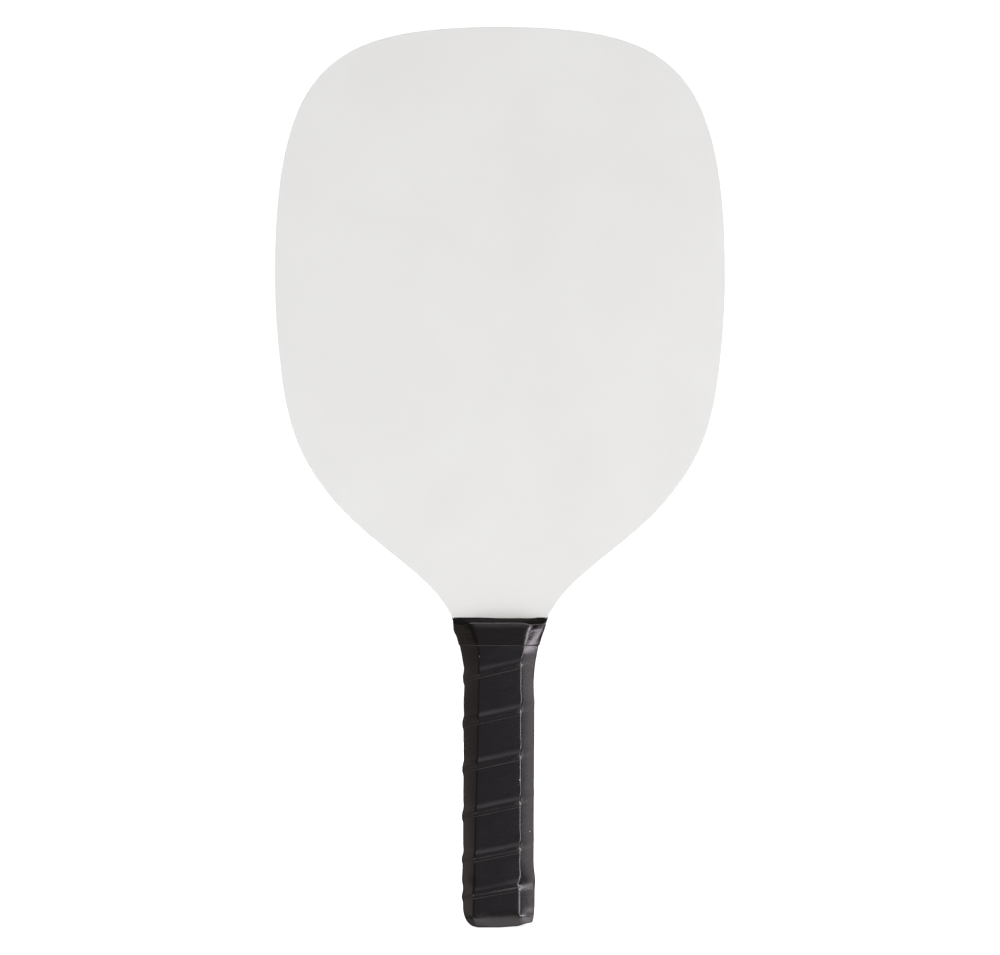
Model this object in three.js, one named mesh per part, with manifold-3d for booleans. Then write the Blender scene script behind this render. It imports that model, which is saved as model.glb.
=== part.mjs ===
// A wooden pickleball paddle, assembled from its real pieces.
//
// Frame: millimetres, +Z from the butt end of the handle towards the blade, X across the width,
// the front face towards -Y. The origin is the centre of the butt end.
//
// The blade is seven plywood veneers with a white film on each side. Below the blade the veneers run
// on as a tongue, and a wooden scale is glued on each side of it to make the eight-sided handle.
// A plastic cap is nailed over the butt. The grip wrap lies on its backing tape round the handle,
// and a finishing tape closes its top end.

import * as THREE from 'three';
import { mergeVertices } from 'three/addons/utils/BufferGeometryUtils.js';
import Module from 'manifold-3d';

// ---- Driving dimensions (mm) ----

// Blade and tongue. Thicknesses are multiples of 1/8 mm, so that neighbours meet on equal numbers.
const LENGTH = 400;
const HALF_WIDTH = 100;
const VENEER_THICKNESS = 1.25;
const FILM_THICKNESS = 0.375;
const FILM_LOWER_EDGE = 137.625;
const CURVE_STEPS = 7;

// Wooden handle, under the wrap
const HANDLE_HALF_WIDTH = 14.2;
const HANDLE_HALF_THICKNESS = 12.25;
const CHAMFER = 5.2;
const NECK_CHAMFER = 7.0;
const NECK_START = 106;
const SCALE_BEVEL_START = 134.4;
const SCALE_TOP = 137;
const SCALE_TOP_THICKNESS = 0.4;

// Butt cap: a cup whose skirt lies in a rebate cut round the wood
const CAP_FLOOR = 3;
const CAP_LIP_HEIGHT = 4.2;
const CAP_LIP_PROUD = 1.7;
const CAP_LIP_EASE = 0.3;
const CAP_CORNER_RADIUS = 5;
const CAP_CORNER_STEPS = 5;
const CAP_SKIRT_TOP = 19.75;
const CAP_SKIRT_OUTER = -0.1;
const CAP_SKIRT_INNER = -0.9;
const REBATE_DEPTH = 1;
const REBATE_TOP = 20;
const REBATE_RAMP = 0.5;
const WOOD_BOTTOM = 3.25;

// Cap nails, one through the skirt into each scale
const NAIL_HEIGHT = 12;
const NAIL_RADIUS = 0.6;
const NAIL_HEAD_RADIUS = 1.5;
const NAIL_HEAD_THICKNESS = 0.35;
const NAIL_POINT = 1.2;
const NAIL_TIP_DEPTH = 6;
const NAIL_HEAD_SEAT = 11.75;
const NAIL_CLEARANCE = 0.3;
const RECESS_FLOOR = 11.7;
const PILOT_FLOOR = 5.4;
const NAIL_SIDES = 16;

// Layers round the handle: distances out from the wood
const BACKING_INNER = 0.05;
const BACKING_OUTER = 0.2;
const GRIP_INNER = 0.25;
const GRIP_OUTER = 1.45;
const GRIP_THINNED = 0.75;
const GRIP_BOTTOM = 4.4;
const GRIP_TAPER_START = 127;
const GRIP_TOP = 133;
const TAPE_GAP = 0.05;
const TAPE_THICKNESS = 0.25;
const TAPE_BOTTOM = 125.1;
const TAPE_TOP = 137.4;
const TAPE_TOP_INNER = 0.075;

// ---- Materials ----

const filmWhite = new THREE.MeshStandardMaterial({ color: '#e9e8e6', roughness: 0.42, metalness: 0 });
const longGrain = new THREE.MeshStandardMaterial({ color: '#cba878', roughness: 0.72, metalness: 0 });
const crossGrain = new THREE.MeshStandardMaterial({ color: '#a77f52', roughness: 0.8, metalness: 0 });
const scaleWood = new THREE.MeshStandardMaterial({ color: '#c29c6b', roughness: 0.75, metalness: 0 });
const capPlastic = new THREE.MeshStandardMaterial({ color: '#2c2a2b', roughness: 0.5, metalness: 0 });
const nailSteel = new THREE.MeshStandardMaterial({ color: '#8f9194', roughness: 0.35, metalness: 1 });
const backingCloth = new THREE.MeshStandardMaterial({ color: '#d8d2c4', roughness: 0.9, metalness: 0 });
const gripLeather = new THREE.MeshStandardMaterial({ color: '#2e2c2e', roughness: 0.55, metalness: 0 });
const tapeVinyl = new THREE.MeshStandardMaterial({ color: '#191716', roughness: 0.35, metalness: 0 });

// ---- Outline of the wood: right half, from the crown down to the straight handle ----

const rightSide = new THREE.Path();
rightSide.moveTo(0, LENGTH);
rightSide.bezierCurveTo(50, LENGTH, 69.1, 391.8, 81.8, 376.2);
rightSide.bezierCurveTo(94.3, 360.8, HALF_WIDTH, 333.5, HALF_WIDTH, 289.9);
rightSide.bezierCurveTo(HALF_WIDTH, 275, 98.95, 260.9, 97.1, 246);
rightSide.bezierCurveTo(95.6, 234.2, 93.1, 219.5, 85.6, 206.3);
rightSide.bezierCurveTo(73.25, 184.6, 56.2, 172.8, 42.75, 161.6);
rightSide.bezierCurveTo(31.7, 152.5, HANDLE_HALF_WIDTH, 139.3, HANDLE_HALF_WIDTH, NECK_START);
const bladeSide = rightSide.getPoints(CURVE_STEPS);

function lerpBetween(value, low, high, atLow, atHigh) {
  const t = THREE.MathUtils.clamp((value - low) / (high - low), 0, 1);
  return THREE.MathUtils.lerp(atLow, atHigh, t);
}

// Half-width of the wood at a height in the handle or the neck, on the outline's own straight steps
function woodHalfWidth(z) {
  for (let i = bladeSide.length - 1; i > 0; i -= 1) {
    const below = bladeSide[i];
    const above = bladeSide[i - 1];
    if (z <= above.y) {
      return lerpBetween(z, below.y, above.y, below.x, above.x);
    }
  }
  return 0;
}

function woodHalfThickness(z) {
  const tongue = 3.5 * VENEER_THICKNESS;
  return lerpBetween(z, SCALE_BEVEL_START, SCALE_TOP, HANDLE_HALF_THICKNESS, tongue + SCALE_TOP_THICKNESS);
}

function rebate(z) {
  return lerpBetween(z, REBATE_TOP, REBATE_TOP + REBATE_RAMP, -REBATE_DEPTH, 0);
}

// The heights of a piece's sections. All pieces of the handle share the same levels, where the outline
// bends or a layer changes, so that each layer's facets lie parallel to those of the layer below it.
const levels = [
  REBATE_TOP,
  REBATE_TOP + REBATE_RAMP,
  TAPE_BOTTOM,
  GRIP_TAPER_START,
  GRIP_TOP,
  SCALE_BEVEL_START,
  SCALE_TOP,
  ...bladeSide.map((point) => point.y),
];

function stations(low, high) {
  const inside = levels.filter((z) => z > low + 0.01 && z < high - 0.01);
  return [low, ...new Set(inside), high].sort((a, b) => a - b);
}

// ---- Sections of the eight-sided handle ----

// Half-sizes of the octagon that lies at a distance out from the wood
function octagonSizes(z, offset) {
  const halfWidth = woodHalfWidth(z);
  const halfThickness = woodHalfThickness(z);
  const across = lerpBetween(z, NECK_START, SCALE_TOP, CHAMFER, NECK_CHAMFER);
  const tongue = 3.5 * VENEER_THICKNESS;
  const deep = Math.min(CHAMFER, 0.66 * (halfThickness - tongue));
  const slant = Math.hypot(across, deep);
  return {
    halfWidth: halfWidth + offset,
    halfThickness: halfThickness + offset,
    flatHalf: halfWidth - across + (offset * (slant - across)) / deep,
    sideHalf: halfThickness - deep + (offset * (slant - deep)) / across,
  };
}

function octagon(z, offset) {
  const s = octagonSizes(z, offset);
  return [
    new THREE.Vector3(s.halfWidth, -s.sideHalf, z),
    new THREE.Vector3(s.halfWidth, s.sideHalf, z),
    new THREE.Vector3(s.flatHalf, s.halfThickness, z),
    new THREE.Vector3(-s.flatHalf, s.halfThickness, z),
    new THREE.Vector3(-s.halfWidth, s.sideHalf, z),
    new THREE.Vector3(-s.halfWidth, -s.sideHalf, z),
    new THREE.Vector3(-s.flatHalf, -s.halfThickness, z),
    new THREE.Vector3(s.flatHalf, -s.halfThickness, z),
  ];
}

// Section of the front scale: half an octagon with its glue face on the tongue
function scaleSection(z) {
  const s = octagonSizes(z, rebate(z));
  const glue = -3.5 * VENEER_THICKNESS;
  return [
    new THREE.Vector3(s.halfWidth, glue, z),
    new THREE.Vector3(-s.halfWidth, glue, z),
    new THREE.Vector3(-s.halfWidth, -s.sideHalf, z),
    new THREE.Vector3(-s.flatHalf, -s.halfThickness, z),
    new THREE.Vector3(s.flatHalf, -s.halfThickness, z),
    new THREE.Vector3(s.halfWidth, -s.sideHalf, z),
  ];
}

// ---- Solids ----

// Joins a chain of rings with equal counts, each counter-clockwise seen from above. An open chain is
// capped at its first ring, facing down, and its last, facing up; a closed one joins last to first.
// Each quad is split the same way in space whether the chain climbs or descends, so that the inside of
// one layer has the facets of the outside of the next.
function skin(rings, closed) {
  const count = rings[0].length;
  const positions = rings.flat().flatMap((point) => [point.x, point.y, point.z]);
  const index = [];
  const joins = closed ? rings.length : rings.length - 1;
  for (let r = 0; r < joins; r += 1) {
    const after = (r + 1) % rings.length;
    const here = r * count;
    const there = after * count;
    const climbs = rings[after][0].z >= rings[r][0].z;
    for (let i = 0; i < count; i += 1) {
      const next = (i + 1) % count;
      if (climbs) {
        index.push(here + i, here + next, there + next, here + i, there + next, there + i);
      } else {
        index.push(here + i, here + next, there + i, here + next, there + next, there + i);
      }
    }
  }
  if (!closed) {
    const last = (rings.length - 1) * count;
    const outline = (ring) => ring.map((point) => new THREE.Vector2(point.x, point.y));
    for (const [a, b, c] of THREE.ShapeUtils.triangulateShape(outline(rings[0]), [])) {
      index.push(c, b, a);
    }
    for (const [a, b, c] of THREE.ShapeUtils.triangulateShape(outline(rings.at(-1)), [])) {
      index.push(last + a, last + b, last + c);
    }
  }
  const geometry = new THREE.BufferGeometry();
  geometry.setAttribute('position', new THREE.Float32BufferAttribute(positions, 3));
  geometry.setIndex(index);
  geometry.computeVertexNormals();
  return geometry;
}

// A sleeve round the handle, between an inner and an outer distance from the wood
function sleeve(heights, inner, outer) {
  const outside = heights.map((z) => octagon(z, outer(z)));
  const inside = heights.map((z) => octagon(z, inner(z))).reverse();
  return skin([...outside, ...inside], true);
}

// A flat sheet: its outline is drawn in X and Z, and its thickness runs from y = 0 towards -Y
function sheet(outline, thickness) {
  const geometry = new THREE.ExtrudeGeometry(new THREE.Shape(outline), {
    depth: thickness,
    bevelEnabled: false,
  });
  const standUp = new THREE.Matrix4().set(1, 0, 0, 0, 0, 0, -1, 0, 0, 1, 0, 0, 0, 0, 0, 1);
  return geometry.applyMatrix4(standUp);
}

// Half-turn about Z, which swaps front for back
function turned(geometry) {
  const halfTurn = new THREE.Matrix4().set(-1, 0, 0, 0, 0, -1, 0, 0, 0, 0, 1, 0, 0, 0, 0, 1);
  return geometry.clone().applyMatrix4(halfTurn);
}

function mirrored(points) {
  const left = points.filter((point) => point.x > 0).map((point) => new THREE.Vector2(-point.x, point.y));
  return [...points, ...left.reverse()];
}

// ---- Cuts ----

const wasm = await Module();
wasm.setup();

function toSolid(geometry) {
  const bare = geometry.clone();
  bare.deleteAttribute('normal');
  bare.deleteAttribute('uv');
  const merged = mergeVertices(bare);
  const vertProperties = new Float32Array(merged.attributes.position.array);
  const triVerts = new Uint32Array(merged.index.array);
  return new wasm.Manifold(new wasm.Mesh({ numProp: 3, vertProperties, triVerts }));
}

function toGeometry(solid) {
  const mesh = solid.getMesh();
  const geometry = new THREE.BufferGeometry();
  geometry.setAttribute('position', new THREE.BufferAttribute(mesh.vertProperties, 3));
  geometry.setIndex(new THREE.BufferAttribute(mesh.triVerts, 1));
  geometry.computeVertexNormals();
  return geometry;
}

function cut(geometry, ...tools) {
  return toGeometry(tools.reduce((solid, tool) => solid.subtract(toSolid(tool)), toSolid(geometry)));
}

// A drill along Y at the nail's height, from one depth out to another
function drill(radius, from, to) {
  const tool = new THREE.CylinderGeometry(radius, radius, Math.abs(to - from), NAIL_SIDES);
  return tool.translate(0, (from + to) / 2, NAIL_HEIGHT);
}

// ---- Sub-parts ----

const paddle = new THREE.Group();

function add(name, geometry, material, y = 0) {
  const mesh = new THREE.Mesh(geometry, material);
  mesh.name = name;
  mesh.position.y = y;
  paddle.add(mesh);
}

// Seven veneers, front to back, with the grain crossed from one to the next
function addVeneers() {
  const names = [
    'face_veneer_front',
    'crossband_front',
    'long_band_front',
    'core_veneer',
    'long_band_back',
    'crossband_back',
    'face_veneer_back',
  ];
  const tongue = [
    new THREE.Vector2(HANDLE_HALF_WIDTH, REBATE_TOP + REBATE_RAMP),
    new THREE.Vector2(HANDLE_HALF_WIDTH - REBATE_DEPTH, REBATE_TOP),
    new THREE.Vector2(HANDLE_HALF_WIDTH - REBATE_DEPTH, WOOD_BOTTOM),
  ];
  const veneer = sheet(mirrored([...bladeSide, ...tongue]), VENEER_THICKNESS);
  names.forEach((name, i) => {
    const backPlane = (i + 1 - names.length / 2) * VENEER_THICKNESS;
    add(name, veneer, i % 2 === 0 ? longGrain : crossGrain, backPlane);
  });
}

function addFilms() {
  const above = bladeSide.filter((point) => point.y > FILM_LOWER_EDGE + 0.1);
  const corner = new THREE.Vector2(woodHalfWidth(FILM_LOWER_EDGE), FILM_LOWER_EDGE);
  const film = sheet(mirrored([...above, corner]), FILM_THICKNESS);
  const woodFace = 3.5 * VENEER_THICKNESS;
  add('front_face_film', film, filmWhite, -woodFace);
  add('back_face_film', film, filmWhite, woodFace + FILM_THICKNESS);
}

function addScales() {
  const heights = stations(WOOD_BOTTOM, SCALE_TOP);
  const blank = skin(heights.map(scaleSection), false);
  const pilot = drill(NAIL_RADIUS + NAIL_CLEARANCE, -PILOT_FLOOR, -HANDLE_HALF_THICKNESS);
  const scale = cut(blank, pilot);
  add('handle_scale_front', scale, scaleWood);
  add('handle_scale_back', turned(scale), scaleWood);
}

// The cap's rings run up the outside, over the lip and the skirt, and down the inside to the floor
function addButtCap() {
  const rings = [];
  const sweep = Math.acos(1 - (CAP_LIP_HEIGHT - CAP_LIP_EASE) / CAP_CORNER_RADIUS);
  for (let i = 0; i <= CAP_CORNER_STEPS; i += 1) {
    const angle = (i / CAP_CORNER_STEPS) * sweep;
    const inset = CAP_CORNER_RADIUS * (1 - Math.sin(angle));
    rings.push(octagon(CAP_CORNER_RADIUS * (1 - Math.cos(angle)), CAP_LIP_PROUD - inset));
  }
  rings.push(octagon(CAP_LIP_HEIGHT, CAP_LIP_PROUD - CAP_LIP_EASE));
  rings.push(octagon(CAP_LIP_HEIGHT, CAP_SKIRT_OUTER));
  rings.push(octagon(CAP_SKIRT_TOP, CAP_SKIRT_OUTER));
  rings.push(octagon(CAP_SKIRT_TOP, CAP_SKIRT_INNER));
  rings.push(octagon(CAP_FLOOR, CAP_SKIRT_INNER));
  const holes = drill(NAIL_RADIUS + NAIL_CLEARANCE, -HANDLE_HALF_THICKNESS, HANDLE_HALF_THICKNESS);
  const frontRecess = drill(NAIL_HEAD_RADIUS + NAIL_CLEARANCE, -RECESS_FLOOR, -HANDLE_HALF_THICKNESS);
  const backRecess = drill(NAIL_HEAD_RADIUS + NAIL_CLEARANCE, RECESS_FLOOR, HANDLE_HALF_THICKNESS);
  add('butt_cap', cut(skin(rings, false), holes, frontRecess, backRecess), capPlastic);
}

function addCapNails() {
  const profile = [
    new THREE.Vector2(0, NAIL_TIP_DEPTH),
    new THREE.Vector2(NAIL_RADIUS, NAIL_TIP_DEPTH + NAIL_POINT),
    new THREE.Vector2(NAIL_RADIUS, NAIL_HEAD_SEAT),
    new THREE.Vector2(NAIL_HEAD_RADIUS, NAIL_HEAD_SEAT),
    new THREE.Vector2(NAIL_HEAD_RADIUS, NAIL_HEAD_SEAT + NAIL_HEAD_THICKNESS),
    new THREE.Vector2(0, NAIL_HEAD_SEAT + NAIL_HEAD_THICKNESS),
  ];
  const nail = new THREE.LatheGeometry(profile, NAIL_SIDES).translate(0, 0, NAIL_HEIGHT);
  add('butt_cap_nail_back', nail, nailSteel);
  add('butt_cap_nail_front', turned(nail), nailSteel);
}

function gripOuter(z) {
  return lerpBetween(z, GRIP_TAPER_START, GRIP_TOP, GRIP_OUTER, GRIP_THINNED);
}

function tapeInner(z) {
  const overGrip = gripOuter(z) + TAPE_GAP;
  return z <= GRIP_TOP ? overGrip : lerpBetween(z, GRIP_TOP, SCALE_TOP, overGrip, TAPE_TOP_INNER);
}

function addGrip() {
  const heights = stations(GRIP_BOTTOM, GRIP_TOP);
  const backing = sleeve(heights, () => BACKING_INNER, () => BACKING_OUTER);
  add('grip_backing_tape', backing, backingCloth);
  add('grip_wrap', sleeve(heights, () => GRIP_INNER, gripOuter), gripLeather);
}

function addFinishingTape() {
  const heights = stations(TAPE_BOTTOM, TAPE_TOP);
  const tape = sleeve(heights, tapeInner, (z) => tapeInner(z) + TAPE_THICKNESS);
  add('finishing_tape', tape, tapeVinyl);
}

addFilms();
addVeneers();
addScales();
addButtCap();
addCapNails();
addGrip();
addFinishingTape();

export default paddle;
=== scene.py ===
"""The looks of a wooden pickleball paddle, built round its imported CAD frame.

The frame is in metres: +Z runs from the butt to the blade, X is the width, and the front looks to -Y.
The sizes below are in millimetres and are turned into metres by MM where a mesh is made.
"""

import math

import bpy
import numpy as np
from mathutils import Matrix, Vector
from mathutils.noise import noise


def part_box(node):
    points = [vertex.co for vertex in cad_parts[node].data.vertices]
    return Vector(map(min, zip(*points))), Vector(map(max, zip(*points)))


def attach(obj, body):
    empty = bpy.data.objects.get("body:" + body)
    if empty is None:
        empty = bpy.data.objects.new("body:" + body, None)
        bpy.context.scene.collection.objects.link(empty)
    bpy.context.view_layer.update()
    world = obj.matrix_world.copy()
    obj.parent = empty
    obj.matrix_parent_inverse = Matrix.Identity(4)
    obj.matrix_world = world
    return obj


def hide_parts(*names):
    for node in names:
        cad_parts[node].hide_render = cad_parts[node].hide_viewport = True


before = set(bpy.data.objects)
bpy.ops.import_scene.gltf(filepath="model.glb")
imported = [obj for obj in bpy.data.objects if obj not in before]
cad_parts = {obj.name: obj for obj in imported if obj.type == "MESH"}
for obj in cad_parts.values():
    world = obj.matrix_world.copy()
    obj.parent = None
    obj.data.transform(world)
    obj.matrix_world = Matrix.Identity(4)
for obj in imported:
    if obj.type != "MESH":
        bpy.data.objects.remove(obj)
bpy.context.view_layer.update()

MM = 0.001

# ---- Sizes from the frame (mm) ----


def height_range(node):
    """The lowest and highest Z of a CAD node."""
    low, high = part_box(node)
    return low.z / MM, high.z / MM


blade_low, blade_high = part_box("face_veneer_front")
LENGTH = blade_high.z / MM
HALF_WIDTH = blade_high.x / MM
WOOD_BOTTOM = blade_low.z / MM
TONGUE = -blade_low.y / MM
FILM_FACE = -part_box("front_face_film")[0].y / MM
SCALE_TOP = height_range("handle_scale_front")[1]
HALF_THICKNESS = -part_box("handle_scale_front")[0].y / MM
GRIP_BOTTOM, GRIP_TOP = height_range("grip_wrap")
TAPE_BOTTOM, TAPE_TOP = height_range("finishing_tape")
CAP_TOP = height_range("butt_cap")[1]
VENEERS = [
    "face_veneer_front",
    "crossband_front",
    "long_band_front",
    "core_veneer",
    "long_band_back",
    "crossband_back",
    "face_veneer_back",
]

# ---- Sizes of the looks (mm) ----

HANDLE_HALF_WIDTH = 14.2
NECK_START = 106.0
REBATE_DEPTH = 1.0
REBATE_TOP = 20.0
REBATE_RAMP = 0.5
CURVE_STEPS = 30
VENEER_EASE = 0.07
FILM_EASE = 0.32
FILM_END = SCALE_TOP + 0.05

WOOD_CHAMFER = 5.2
NECK_CHAMFER = 7.0
BED_GAP = 0.27
BED_RADIUS = 0.6
GRIP_PROUD = 1.45
NECK_PROUD = 1.1
END_PROUD = 1.05
GRIP_RADIUS = 1.6
GRIP_CROWN = 0.12
SKIRT_END = 20.5
NECK_STRETCH = (99.0, 109.0)
CORNER_STEPS = 6

BUTT_ROUND_ACROSS = 6.0
BUTT_ROUND_ACROSS_RIGHT = 0.9
BUTT_ROUND_UP = 8.6
BUTT_POWER_SIDE = 2.0
BUTT_POWER_FLAT = 1.3
BUTT_LEDGE = 0.2
BUTT_RIGHT = (7.0, 12.5)

WRAP_EDGE = 0.2
WRAP_EDGE_BEVEL = 0.3
WRAP_THIN = 0.32
WRAP_OVERLAP = 5.2
WRAP_BRIDGE = 0.9
WRAP_PITCH = 20.4
WRAP_FIRST_PITCH = 16.4
WRAP_SECOND_SEAM = 29.2
HUMP_HEIGHT = 0.74
HUMP_ABOVE_SEAM = 2.6
HUMP_WIDTH_BELOW = 1.45
HUMP_WIDTH_ABOVE = 1.9
LAP_STEP = 0.1
VALLEY_DEPTH = 0.2
VALLEY_ABOVE_SEAM = 7.2
VALLEY_WIDTH = 2.0
PULL_HEIGHT = 0.02
DENT_HEIGHT = 0.045
WRAP_COLUMNS = 72
WRAP_UNDER_COLUMNS = 14


# ---- Small maths ----


def mix(a, b, t):
    return a + (b - a) * t


def ramp(value, low, high):
    """0 below low, 1 above high, straight between."""
    return np.clip((value - low) / (high - low), 0.0, 1.0)


def smooth(value, low=0.0, high=1.0):
    """0 below low, 1 above high, eased between."""
    t = ramp(value, low, high)
    return t * t * (3.0 - 2.0 * t)


def bump(value, centre, width):
    """A smooth hill of height 1."""
    return np.exp(-(((value - centre) / width) ** 2))


def wander(x, y, z, seed):
    """Smooth noise from -1 to 1 for a point, with a seed that picks another part of the field."""
    return noise(Vector((x + 17.3 * seed, y - 9.1 * seed, z + 5.7 * seed)))


# ---- Outline of the wood ----


def cubic(points, steps):
    """Points along a cubic Bezier curve, without its last one."""
    p = np.array(points, float)
    t = np.linspace(0.0, 1.0, steps, endpoint=False)[:, None]
    u = 1.0 - t
    return u**3 * p[0] + 3 * u * u * t * p[1] + 3 * u * t * t * p[2] + t**3 * p[3]


def side_outline():
    """Right side of the wood in X and Z, from the crown down to the straight handle."""
    w = HALF_WIDTH
    h = HANDLE_HALF_WIDTH
    knots = [
        [(0, LENGTH), (50, LENGTH), (69.1, 391.8), (81.8, 376.2)],
        [(81.8, 376.2), (94.3, 360.8), (w, 333.5), (w, 289.9)],
        [(w, 289.9), (w, 275), (98.95, 260.9), (97.1, 246)],
        [(97.1, 246), (95.6, 234.2), (93.1, 219.5), (85.6, 206.3)],
        [(85.6, 206.3), (73.25, 184.6), (56.2, 172.8), (42.75, 161.6)],
        [(42.75, 161.6), (31.7, 152.5), (h, 139.3), (h, NECK_START)],
    ]
    curves = [cubic(points, CURVE_STEPS) for points in knots]
    return np.vstack([*curves, [[h, NECK_START]]])


SIDE = side_outline()


def wood_half_width(z):
    return np.interp(z, SIDE[::-1, 1], SIDE[::-1, 0])


def whole_outline(right):
    """Closed outline, clockwise as seen from the front, from its right side."""
    left = right[right[:, 0] > 0.001][::-1] * (-1, 1)
    return np.vstack([right, left])


# ---- Meshes ----


def make_object(name, points, faces, smooth_faces=True):
    """A mesh object from points in millimetres."""
    mesh = bpy.data.meshes.new(name)
    mesh.from_pydata([tuple(p) for p in np.asarray(points, float) * MM], [], faces)
    mesh.validate()
    mesh.polygons.foreach_set("use_smooth", [smooth_faces] * len(mesh.polygons))
    mesh.update()
    piece = bpy.data.objects.new(name, mesh)
    bpy.context.scene.collection.objects.link(piece)
    return piece


def loop_faces(rows, count, closed):
    """Quads that join rings of count points, each ring to the next, and the last to the first if closed."""
    faces = []
    for r in range(rows if closed else rows - 1):
        low = r * count
        high = ((r + 1) % rows) * count
        for i in range(count):
            j = (i + 1) % count
            faces.append((low + i, low + j, high + j, high + i))
    return faces


def sharpen(piece, degrees):
    """Marks the edges that turn by more than an angle as sharp."""
    bpy.context.view_layer.objects.active = piece
    piece.select_set(True)
    piece.data.set_sharp_from_angle(angle=math.radians(degrees))
    piece.select_set(False)


# ---- Blade: veneers and films ----


def inset_outline(outline, distance):
    """The outline moved inwards along its normals."""
    ahead = np.roll(outline, -1, axis=0) - outline
    behind = outline - np.roll(outline, 1, axis=0)
    ahead /= np.linalg.norm(ahead, axis=1)[:, None]
    behind /= np.linalg.norm(behind, axis=1)[:, None]
    along = ahead + behind
    along /= np.linalg.norm(along, axis=1)[:, None]
    inwards = np.column_stack([along[:, 1], -along[:, 0]])
    lengthen = 1.0 / np.maximum(np.sum(along * ahead, axis=1), 0.5)
    return outline + inwards * (distance * lengthen)[:, None]


def plate(name, outline, profile):
    """A flat plate. The profile is a list of (inset, y) from one face, round the edge, to the other."""
    rings = []
    for inset, y in profile:
        ring = inset_outline(outline, inset)
        rings.append(np.column_stack([ring[:, 0], np.full(len(ring), y), ring[:, 1]]))
    count = len(outline)
    faces = loop_faces(len(rings), count, closed=False)
    last = (len(rings) - 1) * count
    faces.append(tuple(range(count))[::-1])
    faces.append(tuple(range(last, last + count)))
    piece = make_object(name, np.vstack(rings), faces)
    for polygon in piece.data.polygons[-2:]:
        polygon.use_smooth = False
    return piece


def veneer_outline():
    foot = [
        (HANDLE_HALF_WIDTH, REBATE_TOP + REBATE_RAMP),
        (HANDLE_HALF_WIDTH - REBATE_DEPTH, REBATE_TOP),
        (HANDLE_HALF_WIDTH - REBATE_DEPTH, WOOD_BOTTOM),
    ]
    return whole_outline(np.vstack([SIDE, foot]))


def make_veneers():
    """Seven veneers with eased edges, so that the glue lines between them show as fine grooves."""
    outline = veneer_outline()
    pieces = []
    for node in VENEERS:
        low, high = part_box(node)
        front = low.y / MM
        back = high.y / MM
        profile = [
            (VENEER_EASE, front),
            (0.0, front + VENEER_EASE),
            (0.0, back - VENEER_EASE),
            (VENEER_EASE, back),
        ]
        piece = plate(node + "_sheet", outline, profile)
        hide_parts(node)
        pieces.append(piece)
    return pieces


def film_outline():
    above = SIDE[SIDE[:, 1] > FILM_END + 0.1]
    corner = [(float(wood_half_width(FILM_END)), FILM_END)]
    return whole_outline(np.vstack([above, corner]))


def make_films():
    """The white face layers, their outer edges rounded over by sanding."""
    outline = film_outline()
    pieces = []
    for node, side in (("front_face_film", -1.0), ("back_face_film", 1.0)):
        profile = [(0.0, side * TONGUE), (0.0, side * (FILM_FACE - FILM_EASE))]
        for step in range(1, 7):
            angle = step / 6 * math.pi / 2
            inset = FILM_EASE * (1 - math.cos(angle))
            profile.append((inset, side * (FILM_FACE - FILM_EASE + FILM_EASE * math.sin(angle))))
        if side < 0:
            profile.reverse()
        piece = plate(node.replace("film", "layer"), outline, profile)
        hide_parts(node)
        pieces.append(piece)
    return pieces


# ---- Eight-sided forms of the handle ----

SMALL_FLATS = (8, 5, 6, 5)
FINE_FLATS = (30, 16, 14, 16)


def octagon(left, right, front, back, side, deep):
    """Eight corners, counter-clockwise from above, from the front flat's left end."""
    return np.array(
        [
            (front[0], -deep),
            (front[1], -deep),
            (right, -side),
            (right, side),
            (back[1], deep),
            (back[0], deep),
            (left, side),
            (left, -side),
        ]
    )


def neck_chamfer(z):
    return mix(WOOD_CHAMFER, NECK_CHAMFER, float(ramp(z, NECK_START, SCALE_TOP)))


def wood_corners(z, proud, half_thickness=HALF_THICKNESS):
    """The wood's corners at a height, moved outwards by a distance."""
    width = float(wood_half_width(z))
    across = neck_chamfer(z)
    deep = min(WOOD_CHAMFER, 0.66 * (half_thickness - TONGUE))
    slant = math.hypot(across, deep)
    flat = width - across + proud * (slant - across) / deep
    side = half_thickness - deep + proud * (slant - deep) / across
    flats = (-flat, flat)
    return octagon(-width - proud, width + proud, flats, flats, side, half_thickness + proud)


def grip_lean(z):
    """The wound handle stands a little to the left of the blade's axis, more so towards the butt."""
    upright = 0.32 * (1.0 - float(smooth(z, 14.0, 26.0)))
    return -0.35 - 0.55 * max(0.0, 1.0 - z / SCALE_TOP) ** 1.2 + upright


def grip_proud(z):
    """How far the grip stands out from the wood: less where it is stretched over the neck and at its end."""
    full = mix(GRIP_PROUD, NECK_PROUD, float(smooth(z, *NECK_STRETCH)))
    return mix(full, END_PROUD, float(ramp(z, 127.0, GRIP_TOP)))


def butt_swell(z):
    """The first turns lie double, and they bulge over the end of the cap's skirt."""
    return 0.2 * (1.0 - float(smooth(z, 24.0, 30.0))) + 0.35 * float(bump(z, SKIRT_END, 3.2))


def front_puff(z):
    """The front and back aren't thinned over the neck, and they fill out towards the collar."""
    not_thinned = (GRIP_PROUD - NECK_PROUD) * float(smooth(z, *NECK_STRETCH))
    return not_thinned + 0.55 * float(smooth(z, 110.0, 127.0))


def front_flat_left(z):
    """X of the front flat's left end, which moves outwards towards the butt and into the collar."""
    towards_butt = 0.0262 * max(0.0, 105.0 - z)
    flare = 3.5 * max(0.0, (z - 122.0) / 12.0) ** 1.5
    return -9.33 - towards_butt - flare


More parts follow.
